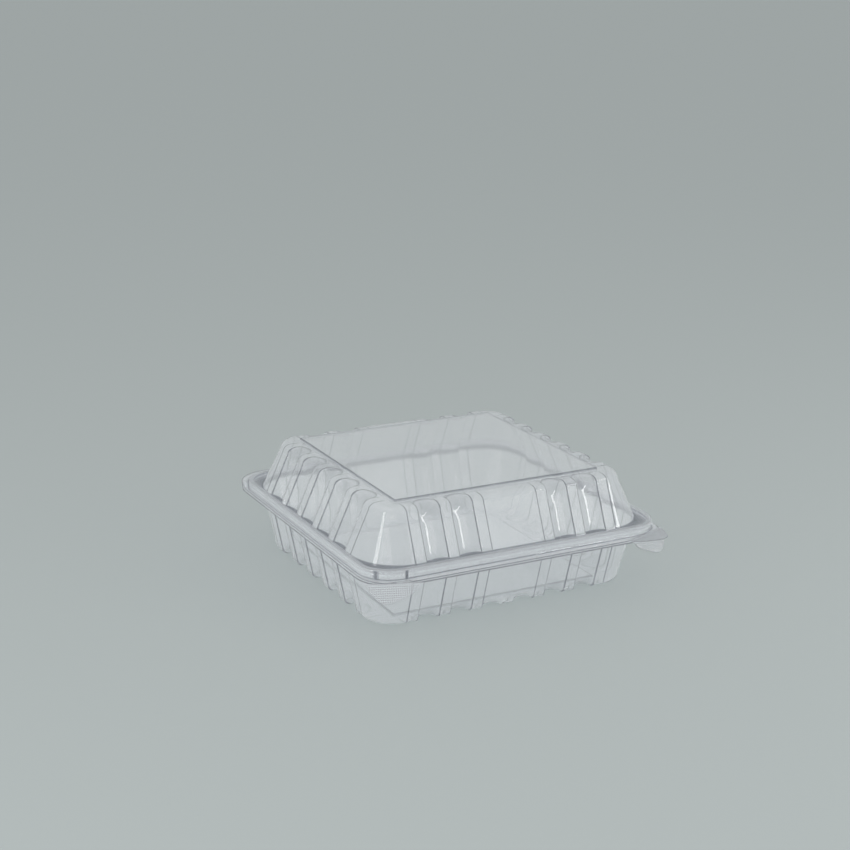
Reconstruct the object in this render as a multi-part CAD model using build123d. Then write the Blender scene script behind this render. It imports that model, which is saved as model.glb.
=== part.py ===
"""Clear thermoformed clamshell pack: a ribbed base tray and a ribbed lid joined by a living hinge.

The pack is one sheet of clear plastic. It is cut here at its living hinge, so that the lid can
turn, into the base (the root) and the lid. Millimetres, +Z up, origin at the centre of the foot
plane. The hinge runs along X at the back (+Y); the thumb tabs are at the front corners.
"""
from build123d import *
import os

# ---- driving dimensions (mm); pairs are half sizes along X and along Y ----
SHEET = 0.5                      # wall of the formed sheet
GAP = 0.3                        # running gap between lid and base where they nest
TOTAL_HEIGHT = 76.0              # foot plane to the top of the lid
PARTING_HEIGHT = 42.0            # plane where lid and base meet, and height of the hinge
FLANGE_HALF = (107.0, 111.0)     # to the outside of the base's lip
FLANGE_RADIUS = 24.0             # plan radius of the flange corners
WALL_SETBACK = (8.5, 16.0)       # from the lip inwards to the walls where they meet the flange
LID_DRAFT = (12.5, 12.5)         # how far the lid walls lean in up to the rounded knee
BASE_DRAFT = (8.0, 11.0)         # how far the base walls lean in down to the rounded knee
KNEE_SETBACK = 4.0               # from the knee inwards to the edge of the flat border
KNEE_DROP = 4.0                  # height of the knee between wall and border
PANEL_SETBACK = (13.5, 12.5)     # from the lid's knee inwards to the sharp-cornered panel
PANEL_STEP = 1.6                 # how far the panel stands out of the border
FRONT_RIBS = 7
SIDE_RIBS = 6
RIB_MARGIN = (14.75, 17.75)      # from the corner of the lid's knee to the outermost ribs
RIB_WIDTH = 7.5                  # flat crest of a rib
RIB_DEPTH = 1.6                  # how far a rib stands out of the corner curve
SCOOP_DEPTH = 2.4                # how far the wall dips between two ribs
BORDER_SCOOP = 6.0               # how far the dip cuts into the border
FOOT_SCOOP = 3.4                 # how far the wall dips where it meets the flange
BEAD_SETBACK = (3.2, 7.5)        # from the lip inwards to the outside of the lid's sealing bead
BEAD_WIDTH = 3.4                 # across the lid's bead
BEAD_HEIGHT = 2.2                # bead above the land
SKIRT_DROP = 3.5                 # how far the skirt hangs below the parting plane
LIP_OFFSET = 1.2                 # how far the base's lip shows past the lid's
HINGE_LAND = 17.0                # strip beside the hinge, with no skirt or lip
HINGE_GAP = 0.4                  # slit that stands for the thin web of the hinge
PARTING_GAP = 0.3                # between the two lands
TAB_FRONT = 32.0                 # length of a thumb tab's fold along the front edge
TAB_SIDE = 12.0                  # length of a thumb tab's fold along the side edge
TAB_REACH = 12.0                 # from the fold to the tip of a tab
BASE_TAB_DROOP = 58.0            # degrees that the base's tabs bend down
LID_TAB_DROOP = 4.0              # degrees that the lid's tab bends down
POCKET = (26.0, 5.0)             # finger pocket in the lid's skirt: length and depth

ARC_HANDLE = 0.5523              # handle length that turns a cubic into a quarter ellipse
ROUND_OFF = 0.29                 # share of the knee's size at the middle of its round
PLAIN_BAY = (2, 4)               # the front and back walls are plain between these two ribs
TAB_OUTLINE = ((0.24, 0.93), (0.31, 1.0), (0.46, 1.0), (0.86, 0.5), (0.95, 0.27))  # along, out


def grown(half, by):
    """A pair of half sizes, each larger by the same amount."""
    return (half[0] + by, half[1] + by)


def inside(half, by):
    """A pair of half sizes, drawn in by a pair of amounts."""
    return (half[0] - by[0], half[1] - by[1])


WALL_FOOT_HALF = inside(FLANGE_HALF, WALL_SETBACK)
LID_KNEE_HALF = inside(WALL_FOOT_HALF, LID_DRAFT)
BASE_KNEE_HALF = inside(WALL_FOOT_HALF, BASE_DRAFT)
PANEL_HALF = inside(LID_KNEE_HALF, PANEL_SETBACK)
RIB_REACH = inside(LID_KNEE_HALF, RIB_MARGIN)
FRONT_PITCH = (2 * RIB_REACH[0] - RIB_WIDTH) / (FRONT_RIBS - 1)
SIDE_PITCH = (2 * RIB_REACH[1] - RIB_WIDTH) / (SIDE_RIBS - 1)


def rib_stops(count, pitch):
    """Both edges of every rib crest along one wall, from low to high."""
    stops = []
    for index in range(count):
        centre = (index - (count - 1) / 2) * pitch
        stops += [centre - RIB_WIDTH / 2, centre + RIB_WIDTH / 2]
    return stops


def wall_edges(half, count, pitch, rib, scoop, plain_bay):
    """One wall facing -Y: rib crests as lines, scoops as shallow arcs."""
    stops = rib_stops(count, pitch)
    crest = -half - rib
    edges = []
    for index in range(len(stops) - 1):
        start = (stops[index], crest)
        end = (stops[index + 1], crest)
        in_bay = plain_bay and plain_bay[0] <= index // 2 < plain_bay[1] and index != 2 * plain_bay[0]
        if index % 2 == 0 or in_bay:
            edges.append(Line(start, end))
        else:
            edges.append(ThreePointArc(start, ((start[0] + end[0]) / 2, crest + scoop), end))
    return edges, Vector(stops[0], crest), Vector(stops[-1], crest)


def section(half, rib, scoop, height):
    """Closed plan section of the ribbed wall at one height."""
    front = (half[1], FRONT_RIBS, FRONT_PITCH, rib, scoop, PLAIN_BAY)
    side = (half[0], SIDE_RIBS, SIDE_PITCH, rib, scoop, None)
    walls = []
    for quarter in range(4):
        edges, first, last = wall_edges(*(side if quarter % 2 else front))
        turn = 90 * quarter
        walls.append(([edge.rotate(Axis.Z, turn) for edge in edges],
                      first.rotate(Axis.Z, turn), last.rotate(Axis.Z, turn)))
    loop = []
    for quarter in range(4):
        edges, _, leave = walls[quarter]
        arrive = walls[(quarter + 1) % 4][1]
        corner = Vector(arrive.X, leave.Y) if quarter % 2 == 0 else Vector(leave.X, arrive.Y)
        loop += edges
        loop.append(Bezier(leave, leave + (corner - leave) * ARC_HANDLE,
                           arrive + (corner - arrive) * ARC_HANDLE, arrive))
    return Pos(0, 0, height) * make_face(loop)


def tray(knee_half, inset, depth, extra=0):
    """Solid ribbed tray, border down at 0: inset draws it in, depth is its height."""
    knee_half = grown(knee_half, -inset)
    middle_scoop = (SCOOP_DEPTH + BORDER_SCOOP) / 2
    low = section(grown(knee_half, -KNEE_SETBACK), RIB_DEPTH, BORDER_SCOOP, 0)
    bend = section(grown(knee_half, -ROUND_OFF * KNEE_SETBACK), RIB_DEPTH, middle_scoop, ROUND_OFF * KNEE_DROP)
    high = section(knee_half, RIB_DEPTH, SCOOP_DEPTH, KNEE_DROP)
    foot = section(grown(WALL_FOOT_HALF, -inset), RIB_DEPTH, FOOT_SCOOP, depth)
    body = loft([low, bend], ruled=True) + loft([bend, high], ruled=True) + loft([high, foot], ruled=True)
    return body + extrude(foot, amount=extra) if extra else body


def block(half, low, high):
    """Box on the axis between two heights."""
    return Pos(0, 0, (low + high) / 2) * Box(2 * half[0], 2 * half[1], high - low)


def food_space(knee_half, depth):
    """Space inside a tray, border's outside at 0, running on past its open side."""
    return Pos(0, 0, SHEET) * tray(knee_half, SHEET, depth - SHEET, 3 * SHEET)


def shell(knee_half, depth, raised_in):
    """Thin ribbed wall with border and panel, border at 0, open at depth."""
    walls = tray(knee_half, 0, depth) - food_space(knee_half, depth) - block(PANEL_HALF, -SHEET, 2 * SHEET)
    rim = grown(PANEL_HALF, SHEET)
    if raised_in:
        return walls + (block(rim, 0, PANEL_STEP + SHEET) - block(PANEL_HALF, -SHEET, PANEL_STEP))
    return walls + (block(rim, -PANEL_STEP, SHEET) - block(PANEL_HALF, SHEET - PANEL_STEP, 2 * SHEET))


def plate(half, low, high):
    """Rounded plate between two heights, its corners concentric with the flange's."""
    radius = max(FLANGE_RADIUS - (FLANGE_HALF[0] - half[0]), 2)
    return Pos(0, 0, low) * extrude(RectangleRounded(2 * half[0], 2 * half[1], radius), amount=high - low)


def ring(outer, inner, low, high):
    """Rounded ring between two heights."""
    return plate(outer, low, high) - plate(inner, low - 1, high + 1)


def beyond(y_start, low, high):
    """Large block on the hinge side of y_start, between two heights."""
    reach = 4 * max(FLANGE_HALF)
    return Pos(0, y_start + reach / 2, (low + high) / 2) * Box(reach, reach, high - low)


def fold_ends(lip_half, side):
    """Ends of a tab's fold at the right (+1) or left (-1) front corner: on the side, on the front."""
    on_side = Vector(side * (lip_half[0] - LIP_OFFSET / 2), -lip_half[1] + TAB_SIDE)
    on_front = Vector(side * (lip_half[0] - TAB_FRONT), -lip_half[1] + LIP_OFFSET / 2)
    return on_side, on_front


def corner_wedge(lip_half, side, low, high):
    """Block over the flange corner outside a tab's fold."""
    on_side, on_front = fold_ends(lip_half, side)
    far = Vector(2 * on_side.X, 2 * on_front.Y)
    outline = Polyline(on_side, (far.X, on_side.Y), far, (on_front.X, far.Y), on_front, close=True)
    return Pos(0, 0, low) * extrude(make_face(outline), amount=high - low)


def tab(lip_half, side, droop, height, skirt_half):
    """Thumb tab: the flange corner, bent down along its fold, with a root inside the lip."""
    on_side, on_front = fold_ends(lip_half, side)
    along = on_front - on_side
    out = Vector(-along.Y, along.X).normalized() * (side * TAB_REACH)
    root = out.normalized() * (-SHEET / 2)
    outline = [on_side + root, on_side]
    outline += [on_side + along * share + out * reach for share, reach in TAB_OUTLINE]
    outline += [on_front, on_front + root]
    blade = extrude(make_face(Polyline(*outline, close=True)), amount=SHEET)
    blade = blade.rotate(Axis((on_side.X, on_side.Y, 0), (along.X, along.Y, 0)), -side * droop)
    blade = Pos(0, 0, height) * blade
    return blade - plate(grown(skirt_half, -SHEET / 2), height - TAB_REACH, height + TAB_REACH)


def flange(skirt_half, lip_half, bead_inner, land_low, bead_top, skirt_low, tab_droops):
    """Land, bead, skirt, lip and thumb tabs round the walls; plain land beside the hinge."""
    land = plate(skirt_half, land_low, land_low + SHEET)
    bead = ring(skirt_half, bead_inner, land_low, bead_top)
    bead_void = ring(grown(skirt_half, -SHEET), grown(bead_inner, SHEET), skirt_low, bead_top - SHEET)
    skirt = ring(skirt_half, grown(skirt_half, -SHEET), skirt_low, bead_top)
    lip = ring(lip_half, grown(skirt_half, -SHEET), skirt_low, skirt_low + SHEET)
    for side in tab_droops:
        lip -= corner_wedge(lip_half, side, skirt_low - SHEET, skirt_low + 2 * SHEET)
    formed = land + bead - bead_void + skirt + lip - beyond(FLANGE_HALF[1] - HINGE_LAND, 0, land_low)
    wing = plate(FLANGE_HALF, land_low, land_low + SHEET) & beyond(skirt_half[1] - SHEET, 0, TOTAL_HEIGHT)
    edge = formed + (wing - beyond(FLANGE_HALF[1] - HINGE_GAP / 2, 0, TOTAL_HEIGHT))
    for side, droop in tab_droops.items():
        edge += tab(lip_half, side, droop, skirt_low, skirt_half)
    return edge


LID_SKIRT = inside(FLANGE_HALF, BEAD_SETBACK)
BASE_SKIRT = grown(LID_SKIRT, -SHEET - GAP)
LID_BEAD_INNER = grown(LID_SKIRT, -BEAD_WIDTH)
BASE_BEAD_INNER = grown(LID_BEAD_INNER, SHEET + GAP)
LID_LIP = grown(FLANGE_HALF, -LIP_OFFSET)
LID_LAND = PARTING_HEIGHT + PARTING_GAP / 2
BASE_LAND = PARTING_HEIGHT - PARTING_GAP / 2 - SHEET
LID_BEAD_TOP = LID_LAND + SHEET + BEAD_HEIGHT
BASE_BEAD_TOP = LID_BEAD_TOP - SHEET - GAP
LID_SKIRT_LOW = PARTING_HEIGHT - SKIRT_DROP
BASE_SKIRT_LOW = LID_SKIRT_LOW - GAP - SHEET


def make_base():
    """Base tray: foot plane at z = 0, flange under the parting plane, a tab at each front corner."""
    edge = flange(BASE_SKIRT, FLANGE_HALF, BASE_BEAD_INNER, BASE_LAND, BASE_BEAD_TOP, BASE_SKIRT_LOW,
                  {-1: BASE_TAB_DROOP, 1: BASE_TAB_DROOP})
    return shell(BASE_KNEE_HALF, BASE_LAND, True) + (edge - food_space(BASE_KNEE_HALF, BASE_LAND))


def make_lid():
    """Lid: a tray turned over, its flange nesting over the base's, a tab at the right front corner."""
    border_height = TOTAL_HEIGHT - PANEL_STEP
    depth = border_height - LID_LAND
    flip = Pos(0, 0, border_height) * Rot(180, 0, 0)
    edge = flange(LID_SKIRT, LID_LIP, LID_BEAD_INNER, LID_LAND, LID_BEAD_TOP, LID_SKIRT_LOW,
                  {1: LID_TAB_DROOP})
    pocket_middle = Vector(POCKET[0] / 2 - FLANGE_HALF[0], -FLANGE_HALF[1])
    pocket = Box(POCKET[0], 2 * POCKET[1], 2 * SKIRT_DROP)
    edge -= Pos(pocket_middle.X, pocket_middle.Y, LID_LAND - SHEET - SKIRT_DROP) * pocket
    return flip * shell(LID_KNEE_HALF, depth, False) + (edge - flip * food_space(LID_KNEE_HALF, depth))


if __name__ == "__main__":
    os.makedirs("parts", exist_ok=True)
    for name, solid in (("base", make_base()), ("lid", make_lid())):
        export_step(solid, f"parts/{name}.step")
        print(name, len(solid.solids()), "solid(s)", round(solid.volume / 1000, 2), "cm3")
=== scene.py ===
"""Looks of the clear clamshell pack: two thin ribbed shells, a hinge web, and a plain studio.

Lengths are in millimetres until a mesh is made, then metres. +Z is up and -Y is the front.
"""
import math
import bmesh
import bpy
import numpy as np
from mathutils import Matrix, Vector


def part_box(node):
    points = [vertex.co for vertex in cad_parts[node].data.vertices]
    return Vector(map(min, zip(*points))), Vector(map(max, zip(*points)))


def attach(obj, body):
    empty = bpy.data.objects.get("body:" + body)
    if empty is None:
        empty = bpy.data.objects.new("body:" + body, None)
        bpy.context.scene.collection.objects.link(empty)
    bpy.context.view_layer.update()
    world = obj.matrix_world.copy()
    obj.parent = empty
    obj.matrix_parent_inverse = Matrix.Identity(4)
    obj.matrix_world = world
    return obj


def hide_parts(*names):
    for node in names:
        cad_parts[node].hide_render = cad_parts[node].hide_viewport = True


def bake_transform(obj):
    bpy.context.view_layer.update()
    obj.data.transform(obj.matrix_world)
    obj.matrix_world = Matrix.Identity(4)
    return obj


MM = 0.001

# ---- sizes that the frame gives ----
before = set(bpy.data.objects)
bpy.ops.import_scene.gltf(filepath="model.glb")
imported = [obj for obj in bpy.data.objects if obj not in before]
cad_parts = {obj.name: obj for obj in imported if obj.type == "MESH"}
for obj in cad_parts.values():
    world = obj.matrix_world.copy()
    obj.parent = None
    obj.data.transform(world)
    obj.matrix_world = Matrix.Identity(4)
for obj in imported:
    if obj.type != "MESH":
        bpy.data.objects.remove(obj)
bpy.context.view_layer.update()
BASE_LOW, BASE_HIGH = (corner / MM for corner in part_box("base"))
LID_LOW, LID_HIGH = (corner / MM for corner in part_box("lid"))
TOTAL_HEIGHT = LID_HIGH.z

# ---- driving dimensions, the same as the part's ----
SHEET = 0.5                   # the part's wall
SKIN = 0.4                    # wall shown here
GAP = 0.3
PARTING_HEIGHT = 42.0
HINGE_EDGE = BASE_HIGH.y      # end of both lands at the hinge
FLANGE_HALF = (BASE_HIGH.x, HINGE_EDGE + 0.2)
FLANGE_RADIUS = 24.0
WALL_FOOT_HALF = (FLANGE_HALF[0] - 8.5, FLANGE_HALF[1] - 16.0)
LID_KNEE_HALF = (WALL_FOOT_HALF[0] - 12.5, WALL_FOOT_HALF[1] - 12.5)
BASE_KNEE_HALF = (WALL_FOOT_HALF[0] - 8.0, WALL_FOOT_HALF[1] - 11.0)
PANEL_HALF = (LID_KNEE_HALF[0] - 13.5, LID_KNEE_HALF[1] - 12.5)
PANEL_STEP = 1.6
KNEE = 4.0                    # radius of the rounded knee at a rib
FRONT_RIBS, FRONT_PITCH = 7, 22.5
SIDE_RIBS, SIDE_PITCH = 6, 24.4
RIB_WIDTH = 7.5
RIB_DEPTH = 1.6
SCOOP_DEPTH = 2.4
FOOT_SCOOP = 3.4
LID_SKIRT = (FLANGE_HALF[0] - 3.2, FLANGE_HALF[1] - 7.5)
BEAD_WIDTH = 3.4
BEAD_HEIGHT = 2.2
SKIRT_DROP = 3.5
LIP_OFFSET = 1.2
HINGE_LAND = 17.0
LID_LAND = PARTING_HEIGHT + 0.15
BASE_LAND = PARTING_HEIGHT - 0.15 - SHEET
TAB_FRONT, TAB_SIDE, TAB_REACH = 32.0, 12.0, 12.0
BASE_TAB_DROOP, LID_TAB_DROOP = 58.0, 4.0
TAB_OUTLINE = ((0.0, 0.0), (0.10, 0.5), (0.24, 0.93), (0.31, 1.0), (0.46, 1.0), (0.86, 0.5), (0.95, 0.27),
               (1.0, 0.0))
POCKET_END = 26.0 - FLANGE_HALF[0]
POCKET_BACK = 5.0 - FLANGE_HALF[1]
POCKET_SIDE = 15.0 - FLANGE_HALF[1]

# ---- details that only show ----
EDGE_STEP = 0.28              # share of a scoop's depth that drops at the rib's edge
EDGE_RUN = 0.45               # width of that drop
LID_BAY_KNEE = 9.2            # radius of the knee at the middle of a bay, a half ellipse in plan
BASE_BAY_KNEE = 11.0
FOOT_RISE = 5.0               # height over which a bay's dip deepens to its foot
LEDGE = 0.5                   # small shelf at a rib's foot
LEDGE_RISE = 1.6
RIB_PLACES = (-1, -0.88, -0.6, -0.4, -0.15, 0.15, 0.4, 0.6, 0.88, 1)   # across a rib
BAY_STEPS, CORNER_STEPS = 11, 44
GROOVE_HALF = 0.5             # share of a rib's half width that its groove takes at the foot
GROOVE_KNEE = 7.0             # how much larger the foot's knee is in that groove
MILKINESS = 0.2               # share of each face of the sheet that scatters light
BACKGROUND = (0.42, 0.46, 0.45)
SKY_LIGHT = 0.82


def smooth(share):
    """Soft step from 0 to 1."""
    share = np.clip(share, 0, 1)
    return share * share * (3 - 2 * share)


def wall_samples(count, pitch, plain):
    """Places along one wall: position, dip, arch of a bay's end, on a rib or not, at a rib's edge or not,

    arch of a bay at the foot, groove of a rib at the foot.
    """
    rows = []
    for index in range(count):
        centre = (index - (count - 1) / 2) * pitch
        shown = not (plain and index == count // 2)
        for across in RIB_PLACES:
            edge = shown and abs(across) == 1
            groove = max(1 - abs(across) / GROOVE_HALF, 0)
            rows.append((centre + across * RIB_WIDTH / 2, 0.0, 0.0, shown, edge, 0.0, groove))
        if index == count - 1:
            break
        start = centre + RIB_WIDTH / 2
        width = pitch - RIB_WIDTH
        flat = plain and index in (count // 2 - 1, count // 2)
        for place in np.concatenate([[EDGE_RUN], np.linspace(EDGE_RUN, width - EDGE_RUN, BAY_STEPS)[1:-1],
                                     [width - EDGE_RUN]]):
            arc = 1 - (2 * place / width - 1) ** 2
            dip, arch = (0, 0) if flat else (EDGE_STEP + (1 - EDGE_STEP) * arc, math.sqrt(arc))
            rows.append((start + place, dip, arch, False, False, math.sqrt(arc), 0.0))
    return np.array(rows, float)


WALLS = [wall_samples(FRONT_RIBS, FRONT_PITCH, True), wall_samples(SIDE_RIBS, SIDE_PITCH, False)] * 2
CORNER = np.linspace(0, 1, CORNER_STEPS + 2)[1:-1]
TURNS = [((1, 0), (0, -1)), ((0, 1), (1, 0)), ((-1, 0), (0, 1)), ((0, -1), (-1, 0))]


def gather(column, corner_value):
    """One value for each place round the perimeter."""
    return np.concatenate([np.concatenate([wall[:, column], np.full(CORNER_STEPS, corner_value)])
                           for wall in WALLS])


DROP = gather(1, 0.0)
ARCH = gather(2, 0.0)
ON_RIB = gather(3, 0.0)
RIB_EDGE = gather(4, 0.0)
FOOT_ARCH = gather(5, 0.0)
GROOVE = gather(6, 0.0)


def around(half, corner_path):
    """Plan points round the perimeter: straight walls at half, corners by corner_path in a wall's frame."""
    points = []
    half = [np.broadcast_to(size, DROP.shape) for size in half]
    start = 0
    for quarter, wall in enumerate(WALLS):
        along, out = (np.array(axis, float) for axis in TURNS[quarter])
        own, other = (half[1], half[0]) if quarter % 2 == 0 else (half[0], half[1])
        count = len(wall)
        depth = own[start:start + count]
        points.append(np.outer(wall[:, 0], along) + np.outer(depth, out))
        reach = wall[-1, 0], WALLS[(quarter + 1) % 4][-1, 0]
        corner = slice(start + count, start + count + CORNER_STEPS)
        a, d = corner_path(reach, other[corner], own[corner])
        points.append(np.outer(a, along) + np.outer(d, out))
        start += count + CORNER_STEPS
    return np.concatenate(points)


def wall_plan(half):
    """Plan of the walls: quarter ellipses between the outermost ribs."""
    def ellipse(reach, far_a, far_d):
        angle = CORNER * math.pi / 2
        return reach[0] + (far_a - reach[0]) * np.sin(angle), reach[1] + (far_d - reach[1]) * np.cos(angle)
    return around(half, ellipse)


def ring_plan(half):
    """Plan of a flange ring: a rounded rectangle, its corners concentric with the flange's."""
    radius = max(FLANGE_RADIUS - (FLANGE_HALF[0] - float(np.max(half[0]))), 2)

    def rounded(reach, far_a, far_d):
        first, last = 0.286, 0.575
        angle = np.clip((CORNER - first) / (last - first), 0, 1) * math.pi / 2
        centre_a, centre_d = far_a - radius, far_d - radius
        lead = reach[0] + (centre_a - reach[0]) * np.clip(CORNER / first, 0, 1)
        trail = reach[1] + (centre_d - reach[1]) * np.clip((1 - CORNER) / (1 - last), 0, 1)
        return lead + radius * np.sin(angle), trail + radius * np.cos(angle)
    return around(half, rounded)


def panel_plan(half):
    """Plan of the sharp-cornered panel: the nearest point of a rectangle."""
    plan = wall_plan(LID_KNEE_HALF)
    plan = np.stack([np.clip(plan[:, 0], -half[0], half[0]), np.clip(plan[:, 1], -half[1], half[1])], 1)
    return plan


def grown(half, by):
    return half[0] + by, half[1] + by


def put(plan, height):
    return np.column_stack([plan, np.broadcast_to(height, len(plan))])


def dish(knee_half, depth, panel_lift, bay_knee, arch, groove_knee):
    """Stations from the panel's edge to the wall's foot, border at 0 and foot at depth, and their painted crease
    shade.
    """
    rows = [put(panel_plan(grown(PANEL_HALF, out)), panel_lift) for out in (-2.5, -0.6, 0)]
    # Painted shade: each station carries a darkness that greys the sheet's colour, dark at the panel's edge,
    # standing in for the dark line refraction draws there.
    painted_shades = [np.full(len(DROP), dark) for dark in (0.0, 0.0, 0.8)]
    for out, rise, dark in ((0.12, 0.94, 0.8), (0.35, 0.1, 0.2), (0.6, 0.0, 0.0), (1.3, 0.0, 0.0)):
        rows.append(put(panel_plan(grown(PANEL_HALF, out)), panel_lift * rise))
        painted_shades.append(np.full(len(DROP), dark))
    inner = panel_plan(grown(PANEL_HALF, 1.3))
    lean = [(foot - knee) / (depth - KNEE) for knee, foot in zip(knee_half, WALL_FOOT_HALF)]
    sharp = [knee - slope * KNEE for knee, slope in zip(knee_half, lean)]
    radius = KNEE + (bay_knee - KNEE) * arch + groove_knee * GROOVE
    edge = wall_plan([size - radius + RIB_DEPTH * (1 - arch) for size in sharp])
    for share in (0.15, 0.4, 0.7, 0.9, 1.0):
        rows.append(put(inner + (edge - inner) * share, 0.0))
        near = np.clip((share - 0.1) * 1.6, 0, 1)
        # Painted shade along the rib edges on the way to the knee, and along each bay's arch at the knee.
        painted_shades.append(np.maximum(RIB_EDGE * near, (share == 1.0) * 0.5 * (arch > 0)))
    for angle in np.linspace(0, math.pi / 2, 9)[1:]:
        turn = math.sin(angle)
        relief = RIB_DEPTH * (1 - arch * (1 - turn)) - SCOOP_DEPTH * DROP * smooth(turn)
        size = [start - radius + (radius + slope * radius) * turn + relief
                for start, slope in zip(sharp, lean)]
        rows.append(put(wall_plan(size), radius * (1 - math.cos(angle))))
        # Painted shade along the rib edges, and a faint painted crescent of shade round each bay's knee.
        painted_shades.append(np.maximum(RIB_EDGE, 0.16 * ARCH * math.sin(2 * angle)))
    for share in (0.12, 0.3, 0.5, 0.7, 0.82, 0.9, 0.95, 0.98, 1.0):
        rise = radius + share * (depth - radius)
        foot = smooth(1 - (depth - rise) / FOOT_RISE)
        dip = SCOOP_DEPTH * DROP * (1 - foot) + FOOT_SCOOP * np.maximum(ARCH, DROP) * foot
        shelf = LEDGE * ON_RIB * smooth(1 - (depth - rise) / LEDGE_RISE)
        size = [start + slope * rise + RIB_DEPTH - dip + shelf for start, slope in zip(sharp, lean)]
        rows.append(put(wall_plan(size), rise))
        # Painted shade along the rib edges and at the wall's foot.
        painted_shades.append(np.maximum(RIB_EDGE, (share >= 0.98) * 0.8))
    return rows, painted_shades


def fold(lip_half, side):
    """Ends of a tab's fold, as the part has them, and the way out of it."""
    on_side = np.array([side * (lip_half[0] - LIP_OFFSET / 2), -lip_half[1] + TAB_SIDE])
    on_front = np.array([side * (lip_half[0] - TAB_FRONT), -lip_half[1] + LIP_OFFSET / 2])
    along = on_front - on_side
    out = np.array([-along[1], along[0]]) * side / np.linalg.norm(along)
    return on_side, along, out


def rim(bead_inner, skirt_half, lip_half, land, bead_top, low, sides, pocket):
    """Stations from the land out over the bead and skirt to the lip."""
    fine = [(-0.02, 0.97), (0.0, 0.85), (0.16, 0.80), (0.16, 0.66), (0.02, 0.62), (0.02, 0.46), (0.16, 0.42),
            (0.16, 0.28), (0.02, 0.24), (0.02, 0.06)]
    path = [(grown(bead_inner, -0.5), land), (bead_inner, land + 0.15), (grown(bead_inner, 0.15), bead_top - 0.6),
            (grown(bead_inner, 0.6), bead_top - 0.1), (grown(bead_inner, 1.0), bead_top),
            (grown(skirt_half, -0.9), bead_top), (grown(skirt_half, -0.45), bead_top - 0.12)]
    path += [(grown(skirt_half, shift - 0.16), low + (bead_top - low) * share) for shift, share in fine]
    path += [(grown(skirt_half, 0.15), low)]
    span = (lip_half[0] - skirt_half[0], lip_half[1] - skirt_half[1])
    path += [((skirt_half[0] + span[0] * share, skirt_half[1] + span[1] * share), low + rise)
             for share, rise in ((0.3, 0), (0.55, 0), (0.62, 0.18), (0.75, 0.18), (0.82, 0), (1.0, 0))]
    rows, painted_shades = [], []
    # Painted shade at the steps of the bead, skirt and lip, standing in for the dark lines refraction draws along
    # them.
    painted_shade_steps = {0: 0.4, 2: 0.5, 4: 0.35, 6: 0.6, len(path) - 7: 0.8, len(path) - 1: 0.9}
    skirt_end = len(path) - 6
    for index, (half, height) in enumerate(path):
        plan = ring_plan(half)
        back = smooth((plan[:, 1] - (FLANGE_HALF[1] - HINGE_LAND - 3)) / 3)
        level = height * (1 - back) + np.maximum(height, land) * back
        if index >= skirt_end:
            wide = ring_plan((FLANGE_HALF[0] - (lip_half[0] - half[0]), HINGE_EDGE - (lip_half[1] - half[1])))
            plan = plan * (1 - back[:, None]) + wide * back[:, None]
            for side in sides:
                on_side, _, out = fold(lip_half, side)
                beyond = np.maximum((plan - on_side) @ out, 0) * (plan[:, 0] * side > 0) * (plan[:, 1] < 0)
                plan = plan - np.outer(beyond, out)
            if pocket:
                cut = (plan[:, 0] < POCKET_END) & (plan[:, 1] < POCKET_BACK)
                plan[cut, 1] = POCKET_BACK
        rows.append(put(plan, level))
        shade = np.full(len(plan), painted_shade_steps.get(index, 0.0))
        # Painted shade round the pocket's corner.
        if pocket and skirt_end - 10 < index < skirt_end:
            corner = (plan[:, 0] < POCKET_END + 1) & (plan[:, 1] < POCKET_SIDE + 1)
            inside = corner & (plan[:, 0] < POCKET_END - 1) & (plan[:, 1] < POCKET_SIDE - 1)
            shade = np.maximum(shade, 0.9 * (corner & ~inside))
        painted_shades.append(shade)
    return rows, painted_shades


def shell_mesh(rows, painted_shades):
    """Vertices, faces and painted crease shade of a sheet through the stations, with its panel."""
    count = len(rows[0])
    faces = [tuple(range(count))]
    for station in range(len(rows) - 1):
        for place in range(count):
            nxt = (place + 1) % count
            a, b = station * count + place, station * count + nxt
            faces.append((a, a + count, b + count, b))
    return np.concatenate(rows), faces, np.concatenate(painted_shades)


def tab_mesh(lip_half, side, droop, height):
    """A thumb tab with fine diamond points and painted shade in their hollows, bent down along its fold."""
    on_side, along, out = fold(lip_half, side)
    shares = np.linspace(0, 1, 121)
    reach = np.interp(shares, *zip(*TAB_OUTLINE))
    kernel = np.hanning(13) / np.hanning(13).sum()
    reach = np.convolve(np.pad(reach, 6), kernel, "valid") * TAB_REACH
    depths = np.linspace(0, 1, 45)
    lean = math.radians(droop)
    points, painted_shades = [], []
    for depth in depths:
        travel = reach * depth
        plan = on_side + np.outer(shares, along) + np.outer(travel * math.cos(lean), out)
        length = shares * np.linalg.norm(along)
        pitch = 1.3
        diamonds = np.sin(math.pi * (length + travel) / pitch) * np.sin(math.pi * (length - travel) / pitch)
        inside = smooth(travel / 1.5) * smooth((reach - travel) / 0.8)
        knurl = 0.2 * diamonds * inside
        # Painted shade in the hollows between the diamond points, and along the tab's fold and its outer edge.
        painted_knurl_shade = np.clip(-1.3 * diamonds, 0, 1) * inside
        painted_shades.append(np.maximum(painted_knurl_shade, 1.0 * (depth in (0, depths[-1]))))
        points.append(np.column_stack([plan + np.outer(knurl * math.sin(lean), out),
                                       height - travel * math.sin(lean) + knurl * math.cos(lean)]))
    count = len(shares)
    faces = []
    for row in range(len(depths) - 1):
        for place in range(count - 1):
            a = row * count + place
            quad = (a, a + 1, a + 1 + count, a + count)
            faces.append(quad if side > 0 else quad[::-1])
    return np.concatenate(points), faces, np.concatenate(painted_shades)


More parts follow.
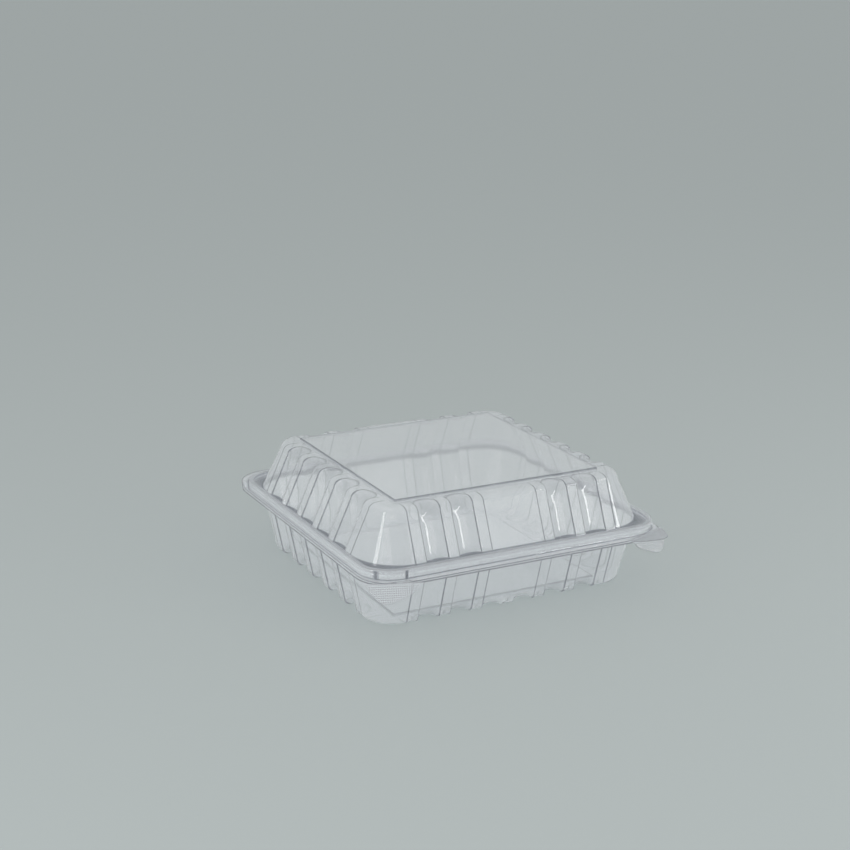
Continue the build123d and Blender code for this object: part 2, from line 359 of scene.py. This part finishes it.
def build(name, parts, thick_offset):
    """One object from sheets, welded, given its wall, and shaded."""
    vertices, faces, painted_shades, start = [], [], [], 0
    for points, quads, painted_darkness in parts:
        vertices.append(points)
        painted_shades.append(painted_darkness)
        faces += [tuple(index + start for index in face) for face in quads]
        start += len(points)
    mesh = bpy.data.meshes.new(name)
    mesh.from_pydata((np.concatenate(vertices) * MM).tolist(), [], faces)
    # Painted crease shade, stored on the points for the material to grey the sheet with.
    painted_crease_shade = mesh.attributes.new("painted_crease_shade", "FLOAT", "POINT")
    painted_crease_shade.data.foreach_set("value", np.concatenate(painted_shades).astype(np.float32))
    work = bmesh.new()
    work.from_mesh(mesh)
    bmesh.ops.remove_doubles(work, verts=work.verts, dist=2e-6)
    work.to_mesh(mesh)
    work.free()
    mesh.validate()
    mesh.shade_smooth()
    mesh.set_sharp_from_angle(angle=math.radians(38))
    piece = bpy.data.objects.new(name, mesh)
    bpy.context.scene.collection.objects.link(piece)
    wall = piece.modifiers.new("wall", "SOLIDIFY")
    wall.thickness = SKIN * MM
    wall.offset = thick_offset
    return piece


def make_lid():
    border = TOTAL_HEIGHT - PANEL_STEP
    depth = border - (LID_LAND + SHEET)
    rows, painted_shades = dish(LID_KNEE_HALF, depth, -PANEL_STEP, LID_BAY_KNEE, ARCH, 0)
    for row in rows:
        row[:, 2] = border - row[:, 2]
    low = PARTING_HEIGHT - SKIRT_DROP + SHEET
    lip = grown(FLANGE_HALF, -LIP_OFFSET)
    flange = rim(grown(LID_SKIRT, -BEAD_WIDTH), LID_SKIRT, lip, LID_LAND + SHEET,
                 LID_LAND + SHEET + BEAD_HEIGHT, low, (1,), True)
    parts = [shell_mesh(rows + flange[0], painted_shades + flange[1]), tab_mesh(lip, 1, LID_TAB_DROOP, low)]
    return build("clear_lid", parts, -1)


def make_base():
    rows, painted_shades = dish(BASE_KNEE_HALF, BASE_LAND, PANEL_STEP, BASE_BAY_KNEE, FOOT_ARCH, GROOVE_KNEE)
    bead_inner = grown(LID_SKIRT, -BEAD_WIDTH + 2 * SHEET + GAP)
    skirt = grown(LID_SKIRT, -2 * SHEET - GAP)
    low = PARTING_HEIGHT - SKIRT_DROP - GAP - SHEET
    bead_top = LID_LAND + BEAD_HEIGHT - GAP - SHEET
    flange = rim(bead_inner, skirt, FLANGE_HALF, BASE_LAND, bead_top, low, (-1, 1), False)
    parts = [shell_mesh(rows + flange[0], painted_shades + flange[1])]
    parts += [tab_mesh(FLANGE_HALF, side, BASE_TAB_DROOP, low) for side in (-1, 1)]
    return build("clear_base", parts, 1)


def make_web():
    """Thin web of the living hinge, between the two lands."""
    reach = FLANGE_HALF[0] - FLANGE_RADIUS - 1
    across = np.linspace(-reach, reach, 9)
    profile = [(-0.5, -0.35), (-0.2, -0.3), (-0.08, -0.12), (-0.08, 0.12), (-0.2, 0.3), (-0.5, 0.35)]
    points = [(x, HINGE_EDGE + dy, PARTING_HEIGHT + dz) for dy, dz in profile for x in across]
    count = len(across)
    faces = [(row * count + i, row * count + i + 1, (row + 1) * count + i + 1, (row + 1) * count + i)
             for row in range(len(profile) - 1) for i in range(count - 1)]
    mesh = bpy.data.meshes.new("hinge_web")
    mesh.from_pydata((np.array(points) * MM).tolist(), [], faces)
    mesh.attributes.new("painted_crease_shade", "FLOAT", "POINT")
    mesh.shade_smooth()
    piece = bpy.data.objects.new("hinge_web", mesh)
    bpy.context.scene.collection.objects.link(piece)
    return piece


def clear_sheet():
    """Clear glossy polystyrene: faintly milky glass, with painted shade greying it along its creases; lamps shine
    through.
    """
    material = bpy.data.materials.new("clear_sheet")
    material.use_nodes = True
    tree = material.node_tree
    tree.nodes.clear()
    link = tree.links.new

    def with_painted_crease_shade(painted_shade_grey, between):
        mix = tree.nodes.new("ShaderNodeMix")
        mix.data_type = "RGBA"
        mix.inputs["A"].default_value = between
        mix.inputs["B"].default_value = painted_shade_grey
        link(painted_crease_shade.outputs["Fac"], mix.inputs["Factor"])
        return mix.outputs["Result"]

    painted_crease_shade = tree.nodes.new("ShaderNodeAttribute")
    painted_crease_shade.attribute_name = "painted_crease_shade"
    glass = tree.nodes.new("ShaderNodeBsdfPrincipled")
    # Painted shade: where the painted crease shade is high, the glass and its milk turn dark grey, standing in
    # for the dark lines refraction draws along creases.
    link(with_painted_crease_shade((0.30, 0.31, 0.35, 1), (0.985, 0.985, 0.99, 1)), glass.inputs["Base Color"])
    glass.inputs["Transmission Weight"].default_value = 1
    glass.inputs["Roughness"].default_value = 0.03
    glass.inputs["IOR"].default_value = 1.5
    white = with_painted_crease_shade((0.36, 0.37, 0.41, 1), (0.97, 0.97, 0.985, 1))
    front = tree.nodes.new("ShaderNodeBsdfDiffuse")
    through = tree.nodes.new("ShaderNodeBsdfTranslucent")
    milk = tree.nodes.new("ShaderNodeMixShader")
    milk.inputs[0].default_value = 0.5
    link(white, front.inputs["Color"])
    link(white, through.inputs["Color"])
    link(front.outputs[0], milk.inputs[1])
    link(through.outputs[0], milk.inputs[2])
    body = tree.nodes.new("ShaderNodeMixShader")
    body.inputs[0].default_value = MILKINESS
    clear = tree.nodes.new("ShaderNodeBsdfTransparent")
    clear.inputs["Color"].default_value = (0.96, 0.965, 0.97, 1)
    rays = tree.nodes.new("ShaderNodeLightPath")
    either = tree.nodes.new("ShaderNodeMath")
    either.operation = "MAXIMUM"
    final = tree.nodes.new("ShaderNodeMixShader")
    out = tree.nodes.new("ShaderNodeOutputMaterial")
    link(glass.outputs[0], body.inputs[1])
    link(milk.outputs[0], body.inputs[2])
    link(rays.outputs["Is Shadow Ray"], either.inputs[0])
    link(rays.outputs["Is Diffuse Ray"], either.inputs[1])
    link(either.outputs[0], final.inputs[0])
    link(body.outputs[0], final.inputs[1])
    link(clear.outputs[0], final.inputs[2])
    link(final.outputs[0], out.inputs[0])
    return material


def plain(name, colour, roughness=0.9):
    material = bpy.data.materials.new(name)
    material.use_nodes = True
    shader = material.node_tree.nodes["Principled BSDF"]
    shader.inputs["Base Color"].default_value = (*colour, 1)
    shader.inputs["Roughness"].default_value = roughness
    return material


def lamp(name, place, size, watts, mirrored):
    """Soft lamp aimed at the pack. A fill isn't mirrored in the sheet; a strip is, as a highlight."""
    light = bpy.data.lights.new(name, "AREA")
    light.shape = "RECTANGLE"
    light.size, light.size_y = size
    light.energy = watts
    holder = bpy.data.objects.new(name, light)
    holder.location = place
    holder.rotation_mode = "QUATERNION"
    holder.rotation_quaternion = (Vector((0, 0, 0.03)) - Vector(place)).to_track_quat("-Z", "Y")
    holder.visible_glossy = mirrored
    bpy.context.scene.collection.objects.link(holder)


def sky():
    """Even white light from all round; the background is the floor's own colour."""
    world = bpy.data.worlds.new("studio")
    bpy.context.scene.world = world
    world.use_nodes = True
    tree = world.node_tree
    light = tree.nodes["Background"]
    light.inputs[0].default_value = (0.97, 0.98, 1.0, 1)
    light.inputs[1].default_value = SKY_LIGHT
    seen = tree.nodes.new("ShaderNodeBackground")
    seen.inputs[0].default_value = (*BACKGROUND, 1)
    rays = tree.nodes.new("ShaderNodeLightPath")
    either, any_of = tree.nodes.new("ShaderNodeMath"), tree.nodes.new("ShaderNodeMath")
    either.operation = any_of.operation = "MAXIMUM"
    mix = tree.nodes.new("ShaderNodeMixShader")
    tree.links.new(rays.outputs["Is Camera Ray"], either.inputs[0])
    tree.links.new(rays.outputs["Is Transmission Ray"], either.inputs[1])
    tree.links.new(either.outputs[0], any_of.inputs[0])
    tree.links.new(rays.outputs["Is Glossy Ray"], any_of.inputs[1])
    tree.links.new(any_of.outputs[0], mix.inputs[0])
    tree.links.new(light.outputs[0], mix.inputs[1])
    tree.links.new(seen.outputs[0], mix.inputs[2])
    tree.links.new(mix.outputs[0], tree.nodes["World Output"].inputs[0])


def studio():
    """Wide pale floor, soft lamps and a plain sky."""
    span = 40.0
    mesh = bpy.data.meshes.new("floor")
    mesh.from_pydata([(-span, -span, -0.0003), (span, -span, -0.0003), (span, span, -0.0003),
                      (-span, span, -0.0003)], [], [(0, 1, 2, 3)])
    floor = bpy.data.objects.new("floor", mesh)
    bpy.context.scene.collection.objects.link(floor)
    mesh.materials.append(plain("floor", BACKGROUND))
    lamp("front_left", (-1.1, -0.9, 0.45), (1.0, 0.5), 4, False)
    lamp("front_right", (0.7, -1.2, 0.45), (0.8, 0.5), 3, False)
    lamp("left_strip", (-1.3, -0.3, 0.5), (0.2, 1.0), 2.5, True)
    lamp("right_strip", (0.9, -0.9, 0.6), (0.14, 1.0), 2.5, True)
    sky()


def make_camera():
    azimuth, elevation, roll = (math.radians(angle) for angle in (-28.13, 16.63, 0.76))
    back = Vector((math.sin(azimuth) * math.cos(elevation), -math.cos(azimuth) * math.cos(elevation),
                   math.sin(elevation)))
    right = Vector((math.cos(azimuth), math.sin(azimuth), 0))
    up = back.cross(right)
    across = right * math.cos(roll) + up * math.sin(roll)
    upright = up * math.cos(roll) - right * math.sin(roll)
    place = Vector((0, 0, TOTAL_HEIGHT / 2)) + back * 1083.2 - across * 12.6 + upright * 54.2
    camera = bpy.data.objects.new("camera", bpy.data.cameras.new("camera"))
    camera.data.sensor_width = 36
    camera.data.lens = 69.1
    camera.data.clip_start = 0.05
    axes = Matrix((across, upright, back)).transposed().to_4x4()
    camera.matrix_world = Matrix.Translation(place * MM) @ axes
    bpy.context.scene.collection.objects.link(camera)
    bpy.context.scene.camera = camera


def main():
    lid, base, web = make_lid(), make_base(), make_web()
    sheet = clear_sheet()
    for piece in (lid, base, web):
        piece.data.materials.append(sheet)
    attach(lid, "lid")
    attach(base, "base")
    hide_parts("lid")
    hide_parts("base")
    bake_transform(web)
    studio()
    make_camera()
    scene = bpy.context.scene
    scene.view_settings.view_transform = "Standard"
    scene.cycles.max_bounces = 20
    scene.cycles.transmission_bounces = 20
    scene.cycles.transparent_max_bounces = 20


main()
